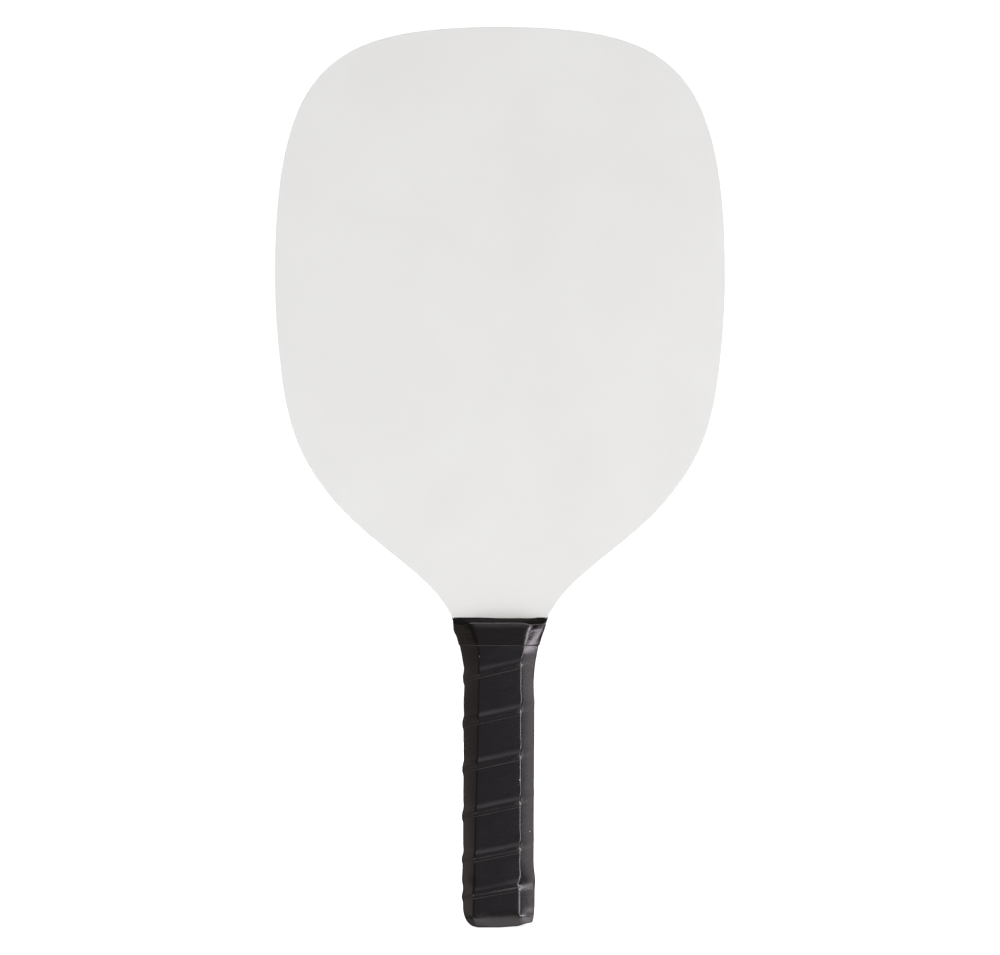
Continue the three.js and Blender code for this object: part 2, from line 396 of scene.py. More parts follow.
def front_flat_right(z):
    """X of the front flat's right end, whose corner grows fuller under the collar."""
    towards_butt = 0.65 * max(0.0, 1.0 - z / 103.0) ** 0.7
    flare = 3.4 * max(0.0, (z - 113.0) / 20.0) ** 2.0
    return 9.6 - towards_butt + flare + 1.9 * float(smooth(z, 121.0, 130.0))


def grip_corners(z, proud, lean, puff, half_thickness=HALF_THICKNESS):
    """Corners of the wound grip. Its front flat narrows unevenly towards the neck and flares with it."""
    corners = wood_corners(z, proud, half_thickness)
    corners += np.sign(corners) * butt_swell(z)
    corners[:, 0] += lean
    corners[[0, 1, 4, 5], 1] += np.sign(corners[[0, 1, 4, 5], 1]) * puff
    corners[0, 0] = front_flat_left(z)
    corners[1, 0] = front_flat_right(z)
    corners[2, 1] -= 0.8 * float(smooth(z, 123.0, 133.0))
    return corners


def grip_radii(z):
    """Fillets of the eight corners: fuller over the skirt's end, and fuller in front near the collar.
    The front right one is fuller at the butt too."""
    radii = np.full(8, GRIP_RADIUS + 2.0 * float(bump(z, SKIRT_END, 2.8)))
    radii[0] = mix(radii[0], 7.0, float(smooth(z, 124.5, 129.0)))
    radii[1] += 1.4 * (1.0 - float(smooth(z, 16.0, 24.0))) + 6.4 * float(smooth(z, 121.0, 132.0))
    return radii


def rounded(corners, radius, corner_steps, flat_counts, crown=0.0):
    """Points and outward normals round a polygon: a fillet at each corner, then its crowned flat."""
    edges = np.roll(corners, -1, axis=0) - corners
    lengths = np.linalg.norm(edges, axis=1)
    along = edges / lengths[:, None]
    before = np.roll(along, 1, axis=0)
    normals = np.column_stack([along[:, 1], -along[:, 0]])
    turns = np.arccos(np.clip(np.sum(before * along, axis=1), -1.0, 1.0))
    shortest = np.minimum(lengths, np.roll(lengths, 1))
    reach = np.minimum(radius * np.tan(turns / 2), 0.48 * shortest)
    radii = reach / np.tan(turns / 2)
    points = []
    outward = []
    for i in range(8):
        start = corners[i] - before[i] * reach[i]
        centre = start - normals[i - 1] * radii[i]
        angle = math.atan2(normals[i - 1][1], normals[i - 1][0])
        for step in range(corner_steps + 1):
            a = angle + turns[i] * step / corner_steps
            direction = np.array([math.cos(a), math.sin(a)])
            points.append(centre + direction * radii[i])
            outward.append(direction)
        following = (i + 1) % 8
        flat_start = corners[i] + along[i] * reach[i]
        flat_end = corners[following] - along[i] * reach[following]
        count = flat_counts[i % 4]
        for step in range(1, count):
            t = step / count
            points.append(mix(flat_start, flat_end, t) + normals[i] * crown * 4.0 * t * (1.0 - t))
            outward.append(normals[i])
    return np.array(points), np.array(outward)


def mitres(corners, corner_steps, flat_counts):
    """How each point of a rounded polygon moves when its flats move outwards by 1, so none cross."""
    along = np.roll(corners, -1, axis=0) - corners
    along /= np.linalg.norm(along, axis=1)[:, None]
    normals = np.column_stack([along[:, 1], -along[:, 0]])
    at_corner = normals + np.roll(normals, 1, axis=0)
    at_corner *= 2.0 / np.sum(at_corner**2, axis=1)[:, None]
    moves = []
    for i in range(8):
        moves.extend([at_corner[i]] * (corner_steps + 1))
        count = flat_counts[i % 4]
        for step in range(1, count):
            moves.append(mix(at_corner[i], at_corner[(i + 1) % 8], step / count))
    return np.array(moves)


TABLE_STEP = 0.25
table_heights = np.arange(0.0, TAPE_TOP + 2.0, TABLE_STEP)
bed_table = []
grip_table = []
normal_table = []
mitre_table = []
for height in table_heights:
    bed, _ = rounded(wood_corners(height, BED_GAP), BED_RADIUS, CORNER_STEPS, SMALL_FLATS)
    outer = grip_corners(height, grip_proud(height), grip_lean(height), front_puff(height))
    skin, skin_normals = rounded(outer, grip_radii(height), CORNER_STEPS, SMALL_FLATS, GRIP_CROWN)
    bed_table.append(bed)
    grip_table.append(skin)
    normal_table.append(skin_normals)
    mitre_table.append(mitres(outer, CORNER_STEPS, SMALL_FLATS))
BED = np.array(bed_table)
GRIP = np.array(grip_table)
GRIP_NORMALS = np.array(normal_table)
GRIP_MITRES = np.array(mitre_table)
STATIONS = GRIP.shape[1]

nominal = GRIP[int(60 / TABLE_STEP)]
steps_round = np.linalg.norm(np.roll(nominal, -1, axis=0) - nominal, axis=1)
PERIMETER = steps_round.sum()
ROUND = (np.cumsum(steps_round) - steps_round) / PERIMETER


def at_station(table, station, z):
    """Rows of a table at one station, for an array of heights."""
    place = np.clip(z / TABLE_STEP, 0, len(table_heights) - 1.001)
    low = place.astype(int)
    share = (place - low)[:, None]
    return mix(table[low, station], table[low + 1, station], share)


# ---- Rounded butt ----


def butt_round_across(x):
    """The butt is rounded over less on its right."""
    return mix(BUTT_ROUND_ACROSS, BUTT_ROUND_ACROSS_RIGHT, smooth(x, *BUTT_RIGHT))


def butt_inset(x, y, z):
    """How far the handle's outside draws in towards its end: round at the sides, more of a chamfer
    in front and behind, where it starts lower at the ends of the flat."""
    on_flat = smooth(np.abs(y), HALF_THICKNESS - 1.0, HALF_THICKNESS + 0.5)
    ends = 0.45 * bump(x, -11.2, 3.4) + 0.35 * bump(x, 9.4, 2.4)
    up = BUTT_ROUND_UP * (1.0 - on_flat * ends)
    across = butt_round_across(x) * (1.0 - 0.25 * on_flat)
    power = mix(BUTT_POWER_SIDE, BUTT_POWER_FLAT, on_flat)
    rise = np.clip((up - z) / up, 0.0, 1.0)
    curve = (1.0 - rise**power) ** (1.0 / power)
    ledge = BUTT_LEDGE * smooth(x, 9.0, 13.0) * (1.0 - smooth(z, 5.6, 9.8))
    return across * (1.0 - curve) + ledge


def butt_lift(x, z):
    """The end face isn't square: it rises to the right."""
    slope = 0.08 * np.maximum(x, 0.0) + 0.92 * smooth(x, *BUTT_RIGHT)
    return slope * (1.0 - np.clip(z / 9.0, 0.0, 1.0)) ** 1.5


# ---- Grip wrap: one tape wound in overlapping turns ----


def wrap_low(turn):
    """Height of the tape's lower edge after a number of turns from the front flat's left corner."""
    pitch = WRAP_PITCH if turn > 1.0 else WRAP_FIRST_PITCH
    swing = 0.3 * math.sin(2 * math.pi * (turn - 0.09)) + 0.25 * math.sin(2.3 * turn + 0.8)
    return WRAP_SECOND_SEAM + pitch * (turn - 1.0) + swing


def skived(from_edge):
    """Share of the tape's thickness near its upper edge, which the next turn covers."""
    return mix(WRAP_THIN, 1.0, smooth(from_edge, 0.0, 4.6))


def lap_hump(above, turn):
    """Height of the lapped zone over the tape's plain surface, at distances above the seam (mm)."""
    strength = 1.0 + 0.2 * wander(turn * 3.1, 0.0, 0.0, 4)
    peak = HUMP_ABOVE_SEAM + 0.4 * wander(turn * 2.3, 1.0, 0.0, 5)
    width = np.where(above < peak, HUMP_WIDTH_BELOW, HUMP_WIDTH_ABOVE)
    hump = HUMP_HEIGHT * strength * bump(above, peak, width)
    step = LAP_STEP * (1.0 - smooth(above, 0.0, 1.0))
    valley = VALLEY_DEPTH * bump(above, VALLEY_ABOVE_SEAM, VALLEY_WIDTH)
    return step + hump - valley


def relief_share(station):
    """The tape lies flatter over the sides, and almost flush on the right, where it was pulled tightest."""
    x, y = GRIP_NORMALS[int(60 / TABLE_STEP), station]
    if x > 0:
        return 0.08 + 0.92 * abs(y) ** 10
    return 0.8 + 0.2 * abs(y) ** 4


def creases(turn, z):
    """Long shallow pulls and dents of the stretched tape (mm)."""
    length = turn * PERIMETER
    low = wrap_low(turn)
    amounts = []
    for height in z:
        across = height - low
        pull = wander(length / 15.0, (across + 0.12 * length) / 2.6, 0.0, 1)
        dent = wander(length / 9.0, height / 8.0, 0.0, 3)
        amounts.append(PULL_HEIGHT * pull + DENT_HEIGHT * dent)
    return np.array(amounts)


def collar_fold(station, z):
    """A small facet at the top left of the front flat, where the tape turns in under the collar."""
    x = GRIP[int(120 / TABLE_STEP), station, 0]
    on_front = GRIP_NORMALS[int(120 / TABLE_STEP), station, 1] < -0.95
    beyond = (z - 118.2) * 0.72 - (x + 9.4) * 0.72
    return -0.14 * np.clip(beyond, 0.0, 3.0) * smooth(beyond, 0.0, 0.4) * on_front


def spaced(low, high, count):
    """Values from low to high, close together near both ends."""
    return mix(low, high, 0.5 - 0.5 * np.cos(np.linspace(0.0, math.pi, count)))


def wrap_rows():
    """(turn, station) for each row of the tape, from the pointed start at the butt to the cut end."""
    rows = []
    for whole in range(-3, 9):
        for station in range(STATIONS):
            turn = whole + ROUND[station]
            high = wrap_low(turn + 1.0) + WRAP_OVERLAP
            if high > GRIP_BOTTOM + 0.6 and wrap_low(turn) < GRIP_TOP - 4.0:
                rows.append((turn, station))
    return rows


def wrap_row(turn, station, has_turn_below):
    """Top and underside of one row of the tape."""
    low = wrap_low(turn)
    high = wrap_low(turn + 1.0) + WRAP_OVERLAP
    z_from = max(low, GRIP_BOTTOM)
    z_to = min(high, GRIP_TOP)
    z = spaced(z_from, z_to, WRAP_COLUMNS)
    bed = at_station(BED, station, z)
    skin = at_station(GRIP, station, z)
    normals = at_station(GRIP_NORMALS, station, z)
    above = z - low
    share = relief_share(station)
    lift = creases(turn, z) + collar_fold(station, z)
    if has_turn_below:
        bevel = np.clip(1.0 - above / WRAP_EDGE_BEVEL, 0.0, 1.0) ** 1.3
        lift = lift + share * (lap_hump(above, turn) - WRAP_EDGE * bevel)
    lift = lift * smooth(high - z, 0.0, 4.0)
    lift = lift - 0.14 * np.clip(1.0 - (z - GRIP_BOTTOM) / 0.25, 0.0, 1.0) ** 2
    inset = butt_inset(skin[:, 0], skin[:, 1], z)
    top = bed + (skin - bed) * skived(high - z)[:, None] + normals * lift[:, None]
    top = top - at_station(GRIP_MITRES, station, z) * inset[:, None]
    top = np.column_stack([top, z + butt_lift(top[:, 0], z)])

    z_under = spaced(z_to, z_from, WRAP_UNDER_COLUMNS)
    bed = at_station(BED, station, z_under)
    skin = at_station(GRIP, station, z_under)
    above = z_under - low
    lapped = skived(WRAP_OVERLAP - above) + 0.015
    bridge = WRAP_THIN * (1.0 - smooth(above - WRAP_OVERLAP, 0.0, WRAP_BRIDGE))
    fill = np.where(above < WRAP_OVERLAP, lapped, bridge) if has_turn_below else np.zeros(len(z_under))
    inset = butt_inset(skin[:, 0], skin[:, 1], z_under) * fill
    under = bed + (skin - bed) * fill[:, None] - at_station(GRIP_MITRES, station, z_under) * inset[:, None]
    under = np.column_stack([under, z_under + butt_lift(under[:, 0], z_under)])
    places = [(turn * PERIMETER * MM, (height - low) * MM, 0.0) for height in np.concatenate([z, z_under])]
    return np.vstack([top, under]), places


def make_wrap():
    rows = wrap_rows()
    first_turn = rows[0][0]
    points = []
    places = []
    for turn, station in rows:
        row_points, row_places = wrap_row(turn, station, turn - 1.0 > first_turn)
        points.append(row_points)
        places.extend(row_places)
    count = WRAP_COLUMNS + WRAP_UNDER_COLUMNS
    faces = loop_faces(len(rows), count, closed=False)
    last = (len(rows) - 1) * count
    faces.append(tuple(range(count))[::-1])
    faces.append(tuple(range(last, last + count)))
    piece = make_object("grip_wrap_tape", np.vstack(points), [face[::-1] for face in faces])
    sharpen(piece, 50)
    place = piece.data.attributes.new("tape_place", "FLOAT_VECTOR", "POINT")
    place.data.foreach_set("vector", np.array(places, float).ravel())
    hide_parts("grip_wrap")
    return piece


# ---- Finishing tape: the collar ----

COLLAR_GAP = 0.05
COLLAR_TOP_GAP = 0.06
COLLAR_THICKNESS = 0.25
COLLAR_EDGE = 0.04
COLLAR_MIDDLE_HEIGHT = 130.0
COLLAR_CORNER_STEPS = 8
COLLAR_ROWS_BELOW = 30
COLLAR_ROWS_ABOVE = 22


def collar_middle(x):
    """1 over the middle of the front flat, 0 at its ends and beyond."""
    return float(smooth(x, -15.0, -10.0) * (1.0 - smooth(x, 8.0, 13.0)))


def shoulder_half_thickness(z, start, end):
    """Half-thickness of the handle's end, which rounds over and slopes down to the blade."""
    t = float(ramp(z, start, end))
    return HALF_THICKNESS - (HALF_THICKNESS - FILM_FACE - 0.04) * t**1.5


def collar_wrinkles(x, y, z):
    """Stretch wrinkles of the vinyl, strongest on the bevels near the flared top (mm)."""
    angle = math.atan2(y, x)
    on_bevel = float(smooth(abs(x), 11.0, 15.0))
    near_top = float(smooth(z, 124.0, 133.0))
    diagonal = wander(angle * 5.0 + z / 9.0, z / 1.3 - angle * 3.0, 0.0, 7)
    broad = wander(angle * 3.0, z / 6.0, 0.0, 8)
    return (0.015 + 0.05 * on_bevel * near_top) * diagonal + 0.04 * broad


def collar_heights(share, x):
    """Height of a row, and of the start of the slope, at one station."""
    dip = 0.34 * float(smooth(x, -6.0, 0.0) * (1.0 - smooth(x, 8.0, 13.0)))
    top = TAPE_TOP + 0.1 - dip + 0.07 * wander(x / 4.0, 0.0, 0.0, 9)
    start = 134.5 + 0.9 * collar_middle(x)
    bottom = TAPE_BOTTOM + 0.12 * wander(x / 5.0, 3.0, 0.0, 10)
    split = COLLAR_ROWS_BELOW / (COLLAR_ROWS_BELOW + COLLAR_ROWS_ABOVE)
    if share <= split:
        z = mix(bottom, start, share / split)
    else:
        z = mix(start, top, (share - split) / (1.0 - split))
    return z, start


def collar_section(z, half_thickness, proud, lean, puff):
    corners = grip_corners(z, proud, lean, puff, half_thickness)
    return rounded(corners, grip_radii(z), COLLAR_CORNER_STEPS, FINE_FLATS, GRIP_CROWN)


def collar_stations():
    """Points round the collar at its middle, which tell where each station lies."""
    z = COLLAR_MIDDLE_HEIGHT
    points, _ = collar_section(z, HALF_THICKNESS, grip_proud(z), grip_lean(z), 0.0)
    return points


def collar_ring(stations, share, lift):
    """One ring of the collar, at a share of its height and at a distance over what it covers."""
    ring = []
    cache = {}
    for station, (x, y) in enumerate(stations):
        z, start = collar_heights(share, x if y < 0 else -x)
        key = (round(z, 2), round(start, 2))
        if key not in cache:
            settle = float(smooth(z, GRIP_TOP - 1.0, TAPE_TOP))
            proud = mix(grip_proud(z) + COLLAR_GAP, COLLAR_TOP_GAP, settle) + lift
            half = shoulder_half_thickness(z, start, 137.1)
            lean = grip_lean(z) * (1.0 - settle)
            puff = front_puff(z) * (1.0 - float(smooth(z, start - 0.5, start + 1.5)))
            cache[key] = (collar_section(z, half, proud, lean, puff), settle)
        (points, normals), settle = cache[key]
        offset = collar_wrinkles(x, y, z) * (1.0 - 0.8 * settle)
        xy = points[station] + normals[station] * offset
        ring.append((xy[0], xy[1], z))
    return ring


def make_collar():
    rows = COLLAR_ROWS_BELOW + COLLAR_ROWS_ABOVE
    stations = collar_stations()
    shares = [i / rows for i in range(rows + 1)]
    outside = [collar_ring(stations, share, COLLAR_THICKNESS) for share in shares]
    outside[0] = collar_ring(stations, 0.0, COLLAR_EDGE)
    inside = [collar_ring(stations, share, 0.0) for share in shares[::-4]]
    rings = outside + inside
    faces = loop_faces(len(rings), len(stations), closed=True)
    piece = make_object("finishing_tape_band", np.array(rings).reshape(-1, 3), faces)
    sharpen(piece, 60)
    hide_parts("finishing_tape")
    return piece


# ---- Butt cap ----

CAP_FLOOR = 3.0
CAP_LIP = GRIP_BOTTOM
CAP_SKIRT_OUTER = -0.1
CAP_SKIRT_INNER = -0.9
CAP_PANEL_INSET = 3.4
CAP_PANEL_DEPTH = 0.45
CAP_RADIUS = 1.2


def cap_outside(z):
    """A ring of the cap's visible outside, drawn in by the rounded butt."""
    skin = GRIP[int(z / TABLE_STEP)]
    inset = butt_inset(skin[:, 0], skin[:, 1], z)
    xy = skin - GRIP_MITRES[int(z / TABLE_STEP)] * inset[:, None]
    return np.column_stack([xy, z + butt_lift(xy[:, 0], z)])


def cap_inside(z, proud):
    """A ring that fits the wood."""
    xy, _ = rounded(wood_corners(z, proud), CAP_RADIUS, CORNER_STEPS, SMALL_FLATS)
    return np.column_stack([xy, np.full(len(xy), z)])


def cap_underside(inwards, z):
    """A ring under the butt, moved towards the middle."""
    rim = cap_outside(0.0)[:, :2]
    centre = np.array([grip_lean(0.0), 0.0])
    reach = np.linalg.norm(rim - centre, axis=1)[:, None]
    xy = centre + (rim - centre) * (1.0 - inwards / reach)
    return np.column_stack([xy, z + butt_lift(xy[:, 0], 0.0)])


def make_cap():
    """Moulded cap: a shallow panel underneath, the rounded butt, a lip, and the skirt under the grip."""
    rings = [cap_underside(inwards, CAP_PANEL_DEPTH) for inwards in (7.2, 6.0, 5.0, 4.4)]
    rings.append(cap_underside(CAP_PANEL_INSET + 0.25, CAP_PANEL_DEPTH))
    rings.append(cap_underside(CAP_PANEL_INSET + 0.06, CAP_PANEL_DEPTH * 0.8))
    rings.append(cap_underside(CAP_PANEL_INSET - 0.1, 0.08))
    rings.append(cap_underside(CAP_PANEL_INSET - 0.4, 0.0))
    rings.append(cap_underside(0.5, 0.0))
    for step in range(22):
        rings.append(cap_outside((CAP_LIP - 0.25) * (step / 21) ** 1.6))
    lip = cap_outside(CAP_LIP)
    skirt = cap_inside(CAP_LIP, CAP_SKIRT_OUTER)
    skirt[:, 2] += butt_lift(skirt[:, 0], CAP_LIP)
    for share, drop in ((0.02, 0.1), (0.12, 0.02), (1.0, 0.02)):
        ring = mix(lip, skirt, share)
        ring[:, 2] -= drop
        rings.append(ring)
    rings.append(cap_inside(CAP_TOP, CAP_SKIRT_OUTER))
    rings.append(cap_inside(CAP_TOP, CAP_SKIRT_INNER))
    rings.append(cap_inside(CAP_FLOOR, CAP_SKIRT_INNER))
    faces = loop_faces(len(rings), STATIONS, closed=False)
    last = (len(rings) - 1) * STATIONS
    faces.append(tuple(range(STATIONS))[::-1])
    faces.append(tuple(range(last, last + STATIONS)))
    piece = make_object("butt_cap_moulding", np.vstack(rings), faces)
    sharpen(piece, 40)
    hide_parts("butt_cap")
    return piece


# ---- Material nodes ----


class Shader:
    """A node material with short helpers for its nodes and links."""

    def __init__(self, name):
        self.material = bpy.data.materials.new(name)
        self.material.use_nodes = True
        self.tree = self.material.node_tree
        self.tree.nodes.clear()
        self.output = self.node("ShaderNodeOutputMaterial")
        self.surface = self.node("ShaderNodeBsdfPrincipled")
        self.link(self.surface.outputs["BSDF"], self.output.inputs["Surface"])

    def node(self, kind, **settings):
        made = self.tree.nodes.new(kind)
        for key, value in settings.items():
            setattr(made, key, value)
        return made

    def link(self, source, target):
        self.tree.links.new(source, target)

    def set(self, **values):
        """Sets the surface's own sockets, with _ for a space in their names."""
        for key, value in values.items():
            self.surface.inputs[key.replace("_", " ")].default_value = value

    def place(self, scale):
        """Object coordinates, in metres, stretched by a scale along each axis."""
        source = self.node("ShaderNodeTexCoord").outputs["Object"]
        return self.stretched(source, scale)

    def attribute(self, name, scale):
        source = self.node("ShaderNodeAttribute", attribute_name=name).outputs["Vector"]
        return self.stretched(source, scale)

    def stretched(self, source, scale):
        mapping = self.node("ShaderNodeMapping")
        mapping.inputs["Scale"].default_value = scale
        self.link(source, mapping.inputs["Vector"])
        return mapping.outputs["Vector"]

    def noise(self, vector, scale, detail=3.0, roughness=0.5, distortion=0.0):
        made = self.node("ShaderNodeTexNoise")
        made.inputs["Scale"].default_value = scale
        made.inputs["Detail"].default_value = detail
        made.inputs["Roughness"].default_value = roughness
        made.inputs["Distortion"].default_value = distortion
        self.link(vector, made.inputs["Vector"])
        return made.outputs["Fac"]

    def cells(self, vector, scale, feature="F1"):
        made = self.node("ShaderNodeTexVoronoi", feature=feature)
        made.inputs["Scale"].default_value = scale
        self.link(vector, made.inputs["Vector"])
        return made.outputs["Distance"]

    def remap(self, value, low, high, to_low=0.0, to_high=1.0):
        made = self.node("ShaderNodeMapRange")
        made.inputs["From Min"].default_value = low
        made.inputs["From Max"].default_value = high
        made.inputs["To Min"].default_value = to_low
        made.inputs["To Max"].default_value = to_high
        self.link(value, made.inputs["Value"])
        return made.outputs["Result"]

    def maths(self, operation, a, b):
        made = self.node("ShaderNodeMath", operation=operation)
        for socket, value in zip(made.inputs, (a, b)):
            if isinstance(value, (int, float)):
                socket.default_value = value
            else:
                self.link(value, socket)
        return made.outputs["Value"]

    def blend(self, factor, dark, light):
        """A colour between two, each a tuple or another colour socket."""
        made = self.node("ShaderNodeMix", data_type="RGBA")
        self.link(factor, made.inputs["Factor"])
        for socket, value in ((made.inputs["A"], dark), (made.inputs["B"], light)):
            if isinstance(value, tuple):
                socket.default_value = (*value, 1.0)
            else:
                self.link(value, socket)
        return made.outputs["Result"]

    def colour(self, socket):
        self.link(socket, self.surface.inputs["Base Color"])

    def roughness(self, socket):
        self.link(socket, self.surface.inputs["Roughness"])

    def relief(self, *layers):
        """Bumps, each (height socket, distance in metres, strength), one over the other."""
        normal = None
        for height, distance, strength in layers:
            made = self.node("ShaderNodeBump")
            made.inputs["Distance"].default_value = distance
            made.inputs["Strength"].default_value = strength
            self.link(height, made.inputs["Height"])
            if normal is not None:
                self.link(normal, made.inputs["Normal"])
            normal = made.outputs["Normal"]
        self.link(normal, self.surface.inputs["Normal"])


def film_material():
    """White printable film: satin, very slightly mottled, with a faint orange peel."""
    s = Shader("white_film")
    place = s.place((1.0, 1.0, 1.0))
    mottle = s.noise(place, 22.0, 4.0, 0.55)
    s.colour(s.blend(s.remap(mottle, 0.3, 0.7), (0.80, 0.797, 0.785), (0.83, 0.828, 0.818)))
    fine = s.noise(place, 900.0, 2.0)
    s.roughness(s.remap(fine, 0.3, 0.7, 0.40, 0.48))
    s.set(Specular_IOR_Level=0.4)
    peel = s.noise(place, 420.0, 1.0)
    waves = s.noise(place, 60.0, 1.0)
    s.relief((waves, 0.0004, 0.06), (peel, 0.00008, 0.1))
    return s.material


def wood_material(name, along, pale, dark):
    """Basswood veneer. The grain runs along X or Z, and where an edge cuts it across, the wood is darker
    and shows its pores."""
    s = Shader(name)
    scale = (1.0, 1.0, 0.035) if along == "Z" else (0.035, 1.0, 1.0)
    grain_place = s.place(scale)
    fibre = s.noise(grain_place, 2400.0, 4.0, 0.6)
    bands = s.noise(grain_place, 260.0, 3.0, 0.5, 0.6)
    tone = s.maths("ADD", s.maths("MULTIPLY", fibre, 0.45), s.maths("MULTIPLY", bands, 0.55))
    wood = s.blend(s.remap(tone, 0.36, 0.64), dark, pale)
    facing = s.node("ShaderNodeSeparateXYZ")
    s.link(s.node("ShaderNodeTexCoord").outputs["Normal"], facing.inputs["Vector"])
    component = facing.outputs["Z" if along == "Z" else "X"]
    end_grain = s.maths("ABSOLUTE", component, 0.0)
    pores = s.remap(s.cells(s.place((1.0, 1.0, 1.0)), 5200.0), 0.08, 0.3)
    end_colour = s.blend(pores, tuple(c * 0.42 for c in dark), tuple(c * 0.8 for c in dark))
    s.colour(s.blend(s.remap(end_grain, 0.25, 0.95), wood, end_colour))
    s.roughness(s.remap(fibre, 0.3, 0.7, 0.5, 0.68))
    s.set(Coat_Weight=0.15, Coat_Roughness=0.35)
    s.relief((bands, 0.0002, 0.12), (fibre, 0.00012, 0.3))
    return s.material


def wrap_material():
    """Charcoal polyurethane grip tape: fine pebbled skin, pulls along the tape, a little dust."""
    s = Shader("grip_polyurethane")
    along = s.attribute("tape_place", (1.0, 1.0, 1.0))
    pulls = s.noise(s.attribute("tape_place", (0.09, 1.0, 1.0)), 1500.0, 3.0, 0.6)
    broad = s.noise(along, 120.0, 3.0)
    pebble = s.cells(s.place((1.0, 1.0, 1.0)), 2600.0, "SMOOTH_F1")
    tone = s.blend(s.remap(broad, 0.3, 0.7), (0.0042, 0.0038, 0.0043), (0.0055, 0.0051, 0.0056))
    above_edge = s.node("ShaderNodeSeparateXYZ")
    s.link(along, above_edge.inputs["Vector"])
    # The tape's bevelled cut edge, 0.1 to 0.3 mm above each seam, is coloured paler: partly the cut foam's
    # own tone, partly a painted highlight for the light line along each seam.
    cut_edge_tone_and_highlight = s.remap(above_edge.outputs["Y"], 0.0001, 0.0003, 1.0, 0.0)
    tone = s.blend(cut_edge_tone_and_highlight, tone, (0.012, 0.0112, 0.0116))
    dust = s.cells(s.place((1.0, 1.0, 1.0)), 95.0)
    speck = s.remap(dust, 0.022, 0.03, 1.0, 0.0)
    s.colour(s.blend(speck, tone, (0.5, 0.49, 0.46)))
    s.roughness(s.remap(pulls, 0.3, 0.7, 0.22, 0.28))
    s.set(Specular_IOR_Level=0.5)
    s.relief((broad, 0.0003, 0.12), (pulls, 0.00012, 0.12), (pebble, 0.00005, 0.3))
    return s.material


def tape_material():
    """Stretched black vinyl: smoother than the grip, with fine stretch lines round the neck."""
    s = Shader("vinyl_tape")
    place = s.place((0.12, 0.12, 1.0))
    lines = s.noise(place, 1600.0, 3.0, 0.6, 0.4)
    grain = s.noise(s.place((1.0, 1.0, 1.0)), 3600.0, 2.0)
    s.colour(s.blend(s.remap(grain, 0.3, 0.7), (0.0045, 0.0037, 0.0034), (0.006, 0.005, 0.0046)))
    s.roughness(s.remap(lines, 0.3, 0.7, 0.17, 0.23))
    s.set(Specular_IOR_Level=0.45)
    s.relief((lines, 0.00025, 0.25), (grain, 0.00004, 0.3))
    return s.material


def cap_material():
    """Black moulded plastic with a fine spark-eroded texture."""
    s = Shader("cap_plastic")
    place = s.place((1.0, 1.0, 1.0))
    texture = s.noise(place, 3000.0, 3.0, 0.6)
    s.colour(s.blend(s.remap(texture, 0.3, 0.7), (0.0055, 0.0052, 0.0054), (0.0075, 0.0071, 0.0074)))
    s.roughness(s.remap(texture, 0.3, 0.7, 0.42, 0.52))
    s.relief((texture, 0.00008, 0.3))
    return s.material


def backing_material():
    """Non-woven adhesive backing."""
    s = Shader("backing_cloth")
    fibres = s.noise(s.place((1.0, 1.0, 0.3)), 1800.0, 5.0, 0.7, 1.0)
    s.colour(s.blend(s.remap(fibres, 0.3, 0.7), (0.5, 0.47, 0.4), (0.66, 0.63, 0.56)))
    s.set(Roughness=0.92)
    s.relief((fibres, 0.0001, 0.5))
    return s.material


def nail_material():
    """Bright drawn wire."""
    s = Shader("nail_steel")
    drawn = s.noise(s.place((1.0, 0.1, 1.0)), 4000.0, 2.0)
    s.colour(s.blend(s.remap(drawn, 0.3, 0.7), (0.42, 0.42, 0.43), (0.56, 0.57, 0.58)))
    s.roughness(s.remap(drawn, 0.3, 0.7, 0.28, 0.4))
    s.set(Metallic=1.0)
    return s.material


# ---- Stage, lights and camera ----

FLOOR_SIZE = 30.0
WORLD_SEEN = 1.1
WORLD_FILL = 0.5
WORLD_SHINE = 0.06
SOFTBOX_CENTRE = (0.0, 0.0, 0.07)
SOFTBOX_DISTANCE = 1.6
CAMERA_DISTANCE = 2.4
CAMERA_LENS = 193.95
CAMERA_HEIGHT = 0.1997


def make_floor():
    mesh = bpy.data.meshes.new("floor")
    half = FLOOR_SIZE / 2
    corners = [(-half, -half, 0), (half, -half, 0), (half, half, 0), (-half, half, 0)]
    mesh.from_pydata(corners, [], [(0, 1, 2, 3)])
    floor = bpy.data.objects.new("floor", mesh)
    bpy.context.scene.collection.objects.link(floor)
    s = Shader("floor_white")
    s.set(Base_Color=(0.8, 0.8, 0.8, 1.0), Roughness=0.9)
    s.set(Emission_Color=(1.0, 1.0, 1.0, 1.0), Emission_Strength=0.86)
    mesh.materials.append(s.material)
    floor.visible_glossy = False
    floor.visible_diffuse = False
    floor.visible_shadow = False


def background(tree, strength):
    node = tree.nodes.new("ShaderNodeBackground")
    node.inputs["Color"].default_value = (1.0, 1.0, 1.0, 1.0)
    node.inputs["Strength"].default_value = strength
    return node.outputs["Background"]


